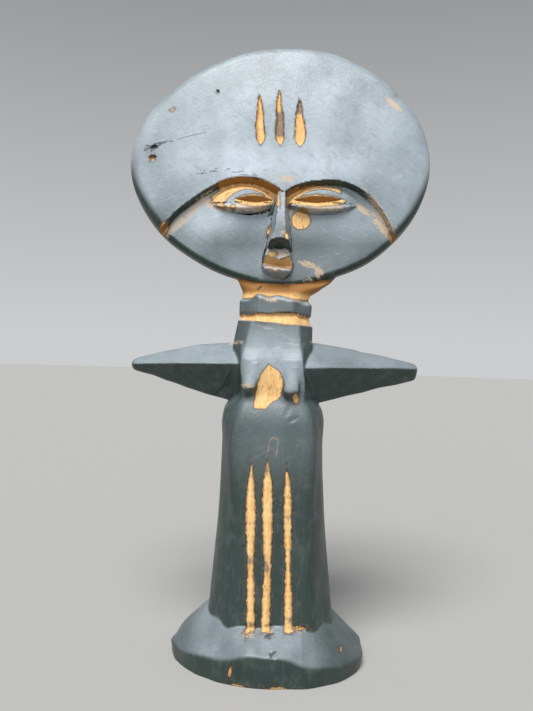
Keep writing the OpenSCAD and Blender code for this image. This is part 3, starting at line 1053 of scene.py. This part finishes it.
def head_dust_and_sheen(x, z, height, normals):
    """How greyed and lit the head is painted: dusty greying mixed with a painted sheen highlight, fading to
    painted shade where it faces down, but for the lower lids and lip.
    """
    lids = ease(-27.5, -25.5, z) * ease(-17.5, -19.5, z) * ease(37.0, 34.0, np.abs(x))
    lips = ease(-54.0, -52.0, z) * ease(-46.0, -48.0, z) * ease(9.0, 7.0, np.abs(x - MOUTH_X))
    full = np.where(normals[:, 1] < 0, 0.55 * np.maximum(lids, lips), 0.0)
    # painted shade: the grey fades out where the head faces down, leaving the black stain; the lower lids and
    # lip keep some
    level = np.maximum(ease(-0.22, 0.12, normals[:, 2]), full)
    amount = 0.82 + 0.08 * ease(196.0, 214.0, height)
    for mid_x, mid_z, half_x, half_z, strength in PALE_AND_SHEEN:
        amount = amount + strength * np.exp(-(((x - mid_x) / half_x) ** 2) - ((z - mid_z) / half_z) ** 2)
    return amount * level


def body_dust_and_sheen(x, z, normals):
    """How greyed and lit the rest is painted: dusty greying and painted top light on what faces up, less on
    the foot's flanks, and a painted sheen highlight on the chest.
    """
    ahead = ease(0.3, 0.9, -normals[:, 1])
    # painted sheen highlight on the front of the chest, faded out where it faces down
    chest = np.exp(-(((z - 129.0) / 15.0) ** 2) - (x / 15.0) ** 4) * ease(-0.4, -0.1, normals[:, 2])
    waist = 0.22 * np.exp(-(((z - 98.0) / 16.0) ** 2) - (x / 20.0) ** 2)
    ring = 0.30 * np.exp(-(((z - 155.0) / 6.0) ** 2))
    shoulders = np.where(x > 14, 0.75, 1.0) * (1 - 0.7 * ease(121, 117, z) * ease(90, 100, z))
    foot = 0.80 - 0.52 * ease(21.0, 33.0, np.abs(x + 5.0))
    # dusty greying and painted top light on faces that turn up
    up = ease(0.15, 0.75, normals[:, 2]) * shoulders * np.where(z < 25, foot, 1.0)
    return 0.04 + 0.72 * up + (chest + waist + ring) * ahead


def film_amount(x, z, lx, lz):
    """How far stain covers the bare wood inside the forehead's and the skirt's lines."""
    middle = mark_inside(lx, lz, BROW_MARKS[1]) > -0.4
    last = mark_inside(lx, lz, BROW_MARKS[2]) > -0.4
    kinds = [ease(-0.5, 0.5, spot_inside(x, z, spot)) for spot in LONG_FILM]
    kinds.append(middle * ease(8.0, 9.6, lz) * ease(21.0, 19.4, lz))
    kinds.append(last * ease(18.4, 20.0, lz))
    return np.maximum.reduce(kinds)


def wood_marks(points, normals):
    """Per point, by attribute: distance inside bare wood; how rubbed the stain is and how greyed and lit it
    is painted;
    how far film or painted shade covers bare wood; and the nearest crack, scratch and groove outline."""
    x, y, z = points.T
    lx, ly, lz = head_frame(x, y, z)
    head = z > HEAD_FROM
    face = np.flatnonzero(head & (ly < -0.5))
    body = np.flatnonzero((y < 0) & (z < 145))
    neck = np.flatnonzero((z > 140) & (z < 182))
    front = np.flatnonzero((y < 0) & ~head)
    ahead = np.flatnonzero(y < 0)
    bare = np.full(x.shape, FAR)
    bare[face] = face_bare(lx[face], lz[face])
    bare[body] = body_bare(x[body], z[body])
    bare[neck] = np.maximum(bare[neck], neck_bare(x[neck], y[neck], z[neck]))
    rubbed = np.zeros_like(x)
    rubbed[face] = rubbed_amount(lx[face], lz[face], FACE_RUBS)
    rubbed[front] = rubbed_amount(x[front], z[front], BODY_RUBS)
    # painted shade on bare wood: darker where it faces down, less so on the face below the mouth's top and on
    # the body, and on the neck stub just under the head, where the head's shadow falls
    under = ease(-0.02, -0.5, normals[:, 2]) * np.where(head, np.where(lz < MOUTH_TOP, 0.45, 1.0), 0.3)
    stub = ease(158.0, 161.6, z) * ease(172.0, 168.0, z) * (np.abs(neck_field(x, y, z)) < 0.9)
    marks = {
        "bare": bare,
        "rubbed": rubbed,
        "film": np.where(y < 0, film_amount(x, z, lx, lz), 0.0),
        "dust_and_sheen": np.where(head, head_dust_and_sheen(lx, lz, z, normals), body_dust_and_sheen(x, z, normals)),
        # painted shade on bare wood
        "deep": np.maximum(under, stub),
        "loop_off": np.where(y < 0, loop_line(x, z) / LOOP_LINE, OFF),
        "loop_room": 0.5 * (z - 89.4),
    }
    for key, lines in (("crack", CRACKS), ("scratch", scratches())):
        off, room = np.full(x.shape, OFF), np.full(x.shape, -5.0)
        off[ahead], room[ahead] = nearest_line(x[ahead], z[ahead], lines)
        marks[key + "_off"], marks[key + "_room"] = off, room
    return marks


# ---- materials

# linear colours of the stain, from its first layer to its last
# the black stain's green tint is painted bounce light from a green surround, not the stain's own colour
STAIN_WITH_GREEN_BOUNCE = (0.009, 0.026, 0.019)
# pale colours the stain is greyed towards: dusty greying mixed with a painted bluish sheen; the thick one
# paints the brightest sheen highlight, as over the brow
DUST_AND_SHEEN = (0.33, 0.385, 0.43)
THICK_DUST_AND_HIGHLIGHT = (0.495, 0.555, 0.63)
PATCHY = (0.15, 0.165, 0.17)
FIBRE = (0.22, 0.225, 0.22)
SCUFF = (0.50, 0.54, 0.58)
BRUSHED = (0.46, 0.51, 0.57)
WORN_DARK = (0.10, 0.115, 0.125)
SCRATCH = (0.60, 0.61, 0.61)
OUTLINE = (0.42, 0.28, 0.17)
SPECK = (0.020, 0.022, 0.022)
THIN_STAIN = (0.57, 0.42, 0.29)
FRINGE = (0.24, 0.13, 0.06)
# painted shade along the edge of every cut through the stain
CUT_SHADE = (0.030, 0.024, 0.020)
# and of the bare wood
WOOD = (0.84, 0.54, 0.22)
WOOD_STREAK = (0.66, 0.36, 0.12)
WOOD_PALE = (0.90, 0.68, 0.36)
WOOD_RIM = (0.30, 0.135, 0.045)
PORE = (0.20, 0.085, 0.025)
# painted shade for bare wood that faces down or lies under the head
WOOD_SHADE = (0.25, 0.100, 0.014)
FILM = (0.17, 0.135, 0.12)
CRACK = (0.016, 0.013, 0.011)


class Shader:
    """Short names for the nodes that the wood needs."""

    def __init__(self, name):
        self.material = bpy.data.materials.new(name)
        self.material.use_nodes = True
        self.nodes, self.links = self.material.node_tree.nodes, self.material.node_tree.links
        self.nodes.clear()
        self.bsdf = self.nodes.new("ShaderNodeBsdfPrincipled")
        out = self.nodes.new("ShaderNodeOutputMaterial")
        self.links.new(self.bsdf.outputs[0], out.inputs["Surface"])
        self.coords = self.nodes.new("ShaderNodeTexCoord").outputs["Object"]

    def put(self, socket, value):
        """Sets a socket to a number or a colour, or links it to another node's output."""
        if isinstance(value, tuple):
            socket.default_value = (*value, 1.0)
        elif isinstance(value, (int, float)):
            socket.default_value = value
        else:
            self.links.new(value, socket)

    def maths(self, operation, a, b=0.0):
        n = self.nodes.new("ShaderNodeMath")
        n.operation = operation
        self.put(n.inputs[0], a)
        self.put(n.inputs[1], b)
        return n.outputs[0]

    def times(self, a, b):
        return self.maths("MULTIPLY", a, b)

    def plus(self, a, b):
        return self.maths("ADD", a, b)

    def step(self, value, low, high):
        """0 where value is at low, 1 where it is at high, and a smooth step between."""
        n = self.nodes.new("ShaderNodeMapRange")
        n.interpolation_type = "SMOOTHSTEP"
        self.put(n.inputs["Value"], value)
        n.inputs["From Min"].default_value = min(low, high)
        n.inputs["From Max"].default_value = max(low, high)
        n.inputs["To Min"].default_value = 0.0 if low < high else 1.0
        n.inputs["To Max"].default_value = 1.0 if low < high else 0.0
        return n.outputs["Result"]

    def attribute(self, key):
        n = self.nodes.new("ShaderNodeAttribute")
        n.attribute_name = key
        return n.outputs["Fac"]

    def noise(self, size, stretch=(1, 1, 1), detail=3.0, rough=0.55, shift=0.0, turn=0.0):
        """Noise with features of about size millimetres, stretched along each axis and then turned
        by some degrees in the upright plane."""
        m = self.nodes.new("ShaderNodeMapping")
        spin = self.nodes.new("ShaderNodeVectorRotate")
        spin.rotation_type = "Y_AXIS"
        spin.inputs["Angle"].default_value = math.radians(turn)
        self.links.new(self.coords, spin.inputs["Vector"])
        self.links.new(spin.outputs[0], m.inputs["Vector"])
        m.inputs["Scale"].default_value = [1.0 / (size * MM * a) for a in stretch]
        m.inputs["Location"].default_value = (shift, shift * 1.7, shift * 0.6)
        n = self.nodes.new("ShaderNodeTexNoise")
        n.inputs["Scale"].default_value = 1.0
        n.inputs["Detail"].default_value = detail
        n.inputs["Roughness"].default_value = rough
        self.links.new(m.outputs[0], n.inputs["Vector"])
        return n.outputs["Fac"]

    def mix(self, factor, a, b):
        n = self.nodes.new("ShaderNodeMix")
        n.data_type = "RGBA"
        # the colour sockets come after the number and vector ones
        self.put(n.inputs[0], factor)
        self.put(n.inputs[6], a)
        self.put(n.inputs[7], b)
        return n.outputs[2]

    def layer(self, under, value, low, high, strength, over):
        """The colour under, covered by the colour over as value goes from low to high."""
        return self.mix(self.times(self.step(value, low, high), strength), under, over)

    def line(self, key):
        """1 on the nearest line of one kind, fading out at its ends."""
        across = self.maths("ABSOLUTE", self.attribute(key + "_off"))
        return self.times(self.step(across, 1.3, 0.5), self.step(self.attribute(key + "_room"), -0.1, 0.8))


class WoodNoise:
    """The patterns that the stain, the bare wood and the relief share."""

    def __init__(self, s):
        self.fibre = s.noise(0.9, (1, 1, 14), 4.0, 0.6)
        self.swell = s.noise(15.0, (1, 1, 1.6), 3.0, 0.5, 3.1)
        self.patch = s.noise(4.5, (1, 1, 1.4), 3.0, 0.6, 5.3)
        self.fine = s.noise(0.7, (1, 1, 1), 3.0, 0.65, 7.7)
        self.scuff = s.noise(1.1, (7, 1, 1), 4.0, 0.65, 11.3, 24.0)
        self.brushed = s.noise(1.6, (4, 1, 1), 4.0, 0.7, 13.9, -38.0)
        self.ragged = s.noise(1.3, (1, 1, 1.6), 3.0, 0.6, 17.9)
        self.speck = s.noise(1.6, (1, 1, 1), 4.0, 0.7, 29.0)
        self.pore = s.noise(0.6, (1, 1, 2.4), 2.0, 0.5, 23.0)


def stain_colour(s, n, bare_edge, scratch):
    """The stain: greyed where dusty and where a sheen highlight is painted, left black as painted shade where
    faces turn down, scuffed, scratched, rubbed thin in places, and with painted shade along the edge of every
    cut.
    """
    # greying from the attribute: dusty greying with painted sheen, and black stain left as painted shade
    # where it is low
    greyed_and_sheen = s.times(s.attribute("dust_and_sheen"), s.plus(s.times(s.step(n.swell, 0.25, 0.75), 0.32), 0.76))
    pale = s.times(greyed_and_sheen, 0.42)
    worn = s.plus(s.times(s.attribute("rubbed"), 0.62), s.plus(s.times(n.fine, 1.1), n.brushed))
    fringe = s.times(s.step(n.fine, 0.50, 0.66), 0.6)
    stain = s.mix(greyed_and_sheen, STAIN_WITH_GREEN_BOUNCE, DUST_AND_SHEEN)
    stain = s.layer(stain, greyed_and_sheen, 0.9, 1.5, 0.8, THICK_DUST_AND_HIGHLIGHT)
    stain = s.layer(stain, n.patch, 0.45, 0.75, 0.22, PATCHY)
    stain = s.layer(stain, n.fibre, 0.54, 0.80, 0.20, FIBRE)
    stain = s.layer(stain, n.scuff, 0.52, 0.78, pale, SCUFF)
    stain = s.layer(stain, n.brushed, 0.54, 0.80, pale, BRUSHED)
    stain = s.layer(stain, n.brushed, 0.46, 0.30, s.times(greyed_and_sheen, 0.28), WORN_DARK)
    stain = s.mix(s.times(scratch, s.plus(s.times(greyed_and_sheen, 0.22), 0.06)), stain, SCRATCH)
    stain = s.layer(stain, n.ragged, 0.36, 0.60, s.times(s.line("loop"), 0.60), OUTLINE)
    stain = s.layer(stain, n.speck, 0.66, 0.74, 0.55, SPECK)
    stain = s.layer(stain, worn, 1.44, 1.70, 0.80, THIN_STAIN)
    stain = s.layer(stain, bare_edge, -1.5, -0.5, fringe, FRINGE)
    # painted shade along the edge of every cut through the stain
    return s.layer(stain, bare_edge, -0.8, -0.15, 0.55, CUT_SHADE)


def grain_colour(s, n, bare_edge):
    """Bare wood: streaked, pored, brown at the rim of a cut, darkened with painted shade where it faces down
    and under the head, filmed in places.
    """
    grain = s.layer(WOOD, n.fibre, 0.30, 0.72, 1.0, WOOD_STREAK)
    grain = s.layer(grain, n.patch, 0.35, 0.75, 0.35, WOOD_PALE)
    grain = s.layer(grain, bare_edge, 0.55, 0.05, 0.60, WOOD_RIM)
    grain = s.layer(grain, n.pore, 0.62, 0.70, 0.80, PORE)
    # painted shade: bare wood that faces down, and the neck stub under the head, darkens towards WOOD_SHADE
    grain = s.mix(s.times(s.attribute("deep"), 0.95), grain, WOOD_SHADE)
    film = s.times(s.attribute("film"), 0.85)
    return s.layer(grain, n.fine, 0.30, 0.45, film, FILM)


def wood_material(name):
    """Wood stained black, greyed and scratched, with bare wood wherever it is cut or worn."""
    s = Shader(name)
    n = WoodNoise(s)
    bare_edge = s.plus(s.attribute("bare"), s.times(s.maths("SUBTRACT", n.ragged, 0.5), 1.3))
    bare = s.step(bare_edge, -0.08, 0.12)
    crack, scratch = s.line("crack"), s.line("scratch")
    colour = s.mix(bare, stain_colour(s, n, bare_edge, scratch), grain_colour(s, n, bare_edge))
    s.put(s.bsdf.inputs["Base Color"], s.mix(s.times(crack, 0.75), colour, CRACK))

    rough = s.nodes.new("ShaderNodeMix")
    s.put(rough.inputs[0], bare)
    s.put(rough.inputs[2], s.plus(s.times(s.step(n.fine, 0.3, 0.7), 0.12), 0.36))
    rough.inputs[3].default_value = 0.75
    s.put(s.bsdf.inputs["Roughness"], rough.outputs[0])
    s.bsdf.inputs["Specular IOR Level"].default_value = 0.5

    relief = s.plus(s.times(n.fibre, 0.40), s.times(n.fine, 0.35))
    relief = s.plus(relief, s.times(s.plus(n.scuff, n.brushed), 0.35))
    relief = s.plus(relief, s.times(n.patch, 0.9))
    relief = s.maths("SUBTRACT", relief, s.times(bare, 0.5))
    relief = s.maths("SUBTRACT", relief, s.plus(s.times(crack, 1.4), s.times(scratch, 0.3)))
    bump = s.nodes.new("ShaderNodeBump")
    bump.inputs["Strength"].default_value = 0.6
    bump.inputs["Distance"].default_value = 0.3 * MM
    s.put(bump.inputs["Height"], relief)
    s.put(s.bsdf.inputs["Normal"], bump.outputs[0])
    return s.material


# ---- pieces

BARE_PIECES = {"left_eye", "right_eye", "mouth", "neck", "lower_neck"}
CAP_DEPTH = 1.5


def build_piece(name, points, normals, tris, marks, materials):
    """One closed mesh for one carved mass, in metres, riding with the root body."""
    used, flat = np.unique(tris, return_inverse=True)
    count = len(used)
    points, normals, tris = close_piece(points[used], normals[used], flat.reshape(-1, 3), CAP_DEPTH)
    mesh = bpy.data.meshes.new(name)
    mesh.vertices.add(len(points))
    mesh.vertices.foreach_set("co", (points * MM).ravel())
    mesh.loops.add(len(tris) * 3)
    mesh.loops.foreach_set("vertex_index", tris.ravel())
    mesh.polygons.add(len(tris))
    mesh.polygons.foreach_set("loop_start", np.arange(len(tris)) * 3)
    mesh.polygons.foreach_set("loop_total", np.full(len(tris), 3))
    mesh.update(calc_edges=True)
    mesh.validate()
    mesh.polygons.foreach_set("use_smooth", np.ones(len(mesh.polygons), bool))
    mesh.normals_split_custom_set_from_vertices(normals.tolist())
    for key, row in marks.items():
        values = np.full(len(points), FAR if key == "bare" else 0.0)
        values[:count] = row[used]
        mesh.attributes.new(key, "FLOAT", "POINT").data.foreach_set("value", values)
    bare = name in BARE_PIECES
    mesh.materials.append(materials["bare" if bare else "stained"])
    piece = bpy.data.objects.new("carved_" + name, mesh)
    bpy.context.scene.collection.objects.link(piece)
    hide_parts(name)
    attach(piece, "root")


def build_doll():
    materials = {"stained": wood_material("Blackened carved wood"), "bare": wood_material("Bare carved wood")}
    points, normals, quads = carve()
    points, normals, pieces = split_pieces(points, normals, quads)
    marks = wood_marks(points, normals)
    for name, tris in pieces.items():
        build_piece(name, points, normals, tris, marks, materials)


# ---- camera, light and floor

FLOOR_RADIUS = 6.0
FLOOR = (0.42, 0.42, 0.41, 1)
HORIZON = (0.60, 0.61, 0.62, 1)
OVERHEAD = (0.20, 0.21, 0.22, 1)
# sines of the heights between which the sky goes from one to the other
SKY_LOW, SKY_HIGH = 0.02, 0.60
# turn and height in degrees, strength, softness in degrees, colour
SUNS = {
    "key": (-12, 58, 3.4, 30, (1.0, 0.985, 0.96)),
    "sheen": (-14, 32, 0.9, 50, (0.92, 0.96, 1.0)),
}
CAMERA_AT = Vector((-3.76, -324.0, 133.0)) * MM
CAMERA_ROLL = math.radians(1.72)
FOCUS_PER_HEIGHT = 1.01266
SENSOR_HEIGHT = 24.0


def build_camera():
    """Level in front of the figure, turned a little about its own line of sight."""
    data = bpy.data.cameras.new("camera")
    data.sensor_fit = "VERTICAL"
    data.sensor_height = SENSOR_HEIGHT
    data.lens = SENSOR_HEIGHT * FOCUS_PER_HEIGHT
    data.clip_start = 0.01
    camera = bpy.data.objects.new("camera", data)
    level = Matrix.Rotation(math.radians(90.0), 4, "X")
    camera.matrix_world = Matrix.Translation(CAMERA_AT) @ level @ Matrix.Rotation(CAMERA_ROLL, 4, "Z")
    bpy.context.scene.collection.objects.link(camera)
    bpy.context.scene.camera = camera


def add_sun(name, turn, height, strength, softness, colour):
    """A sun from a compass turn (0 is in front, towards the doll's left) and a height in degrees."""
    data = bpy.data.lights.new(name, "SUN")
    data.energy = strength
    data.angle = math.radians(softness)
    data.color = colour
    light = bpy.data.objects.new(name, data)
    turn, height = math.radians(turn), math.radians(height)
    place = Vector((math.sin(turn) * math.cos(height), -math.cos(turn) * math.cos(height), math.sin(height)))
    light.matrix_world = place.to_track_quat("Z", "Y").to_matrix().to_4x4()
    bpy.context.scene.collection.objects.link(light)


def build_floor():
    bpy.ops.mesh.primitive_circle_add(vertices=96, radius=FLOOR_RADIUS, fill_type="NGON")
    floor = bpy.context.object
    floor.name = "floor"
    mat = bpy.data.materials.new("Pale floor")
    mat.use_nodes = True
    shader = mat.node_tree.nodes["Principled BSDF"]
    shader.inputs["Base Color"].default_value = FLOOR
    shader.inputs["Roughness"].default_value = 1.0
    shader.inputs["Specular IOR Level"].default_value = 0.0
    floor.data.materials.append(mat)


def build_world():
    """Pale at the horizon, like the floor, and dimmer overhead, so that the key light models the form."""
    world = bpy.data.worlds.new("studio")
    world.use_nodes = True
    nodes, links = world.node_tree.nodes, world.node_tree.links
    coords = nodes.new("ShaderNodeTexCoord")
    parts = nodes.new("ShaderNodeSeparateXYZ")
    height = nodes.new("ShaderNodeMapRange")
    height.inputs["From Min"].default_value = SKY_LOW
    height.inputs["From Max"].default_value = SKY_HIGH
    mix = nodes.new("ShaderNodeMix")
    mix.data_type = "RGBA"
    mix.inputs[6].default_value = HORIZON
    mix.inputs[7].default_value = OVERHEAD
    links.new(coords.outputs["Generated"], parts.inputs[0])
    links.new(parts.outputs["Z"], height.inputs["Value"])
    links.new(height.outputs["Result"], mix.inputs[0])
    links.new(mix.outputs[2], nodes["Background"].inputs["Color"])
    nodes["Background"].inputs["Strength"].default_value = 1.0
    bpy.context.scene.world = world


def build_studio():
    build_floor()
    build_world()
    for name, sun in SUNS.items():
        add_sun(name, *sun)
    bpy.context.scene.view_settings.view_transform = "Standard"


build_camera()
build_studio()
build_doll()
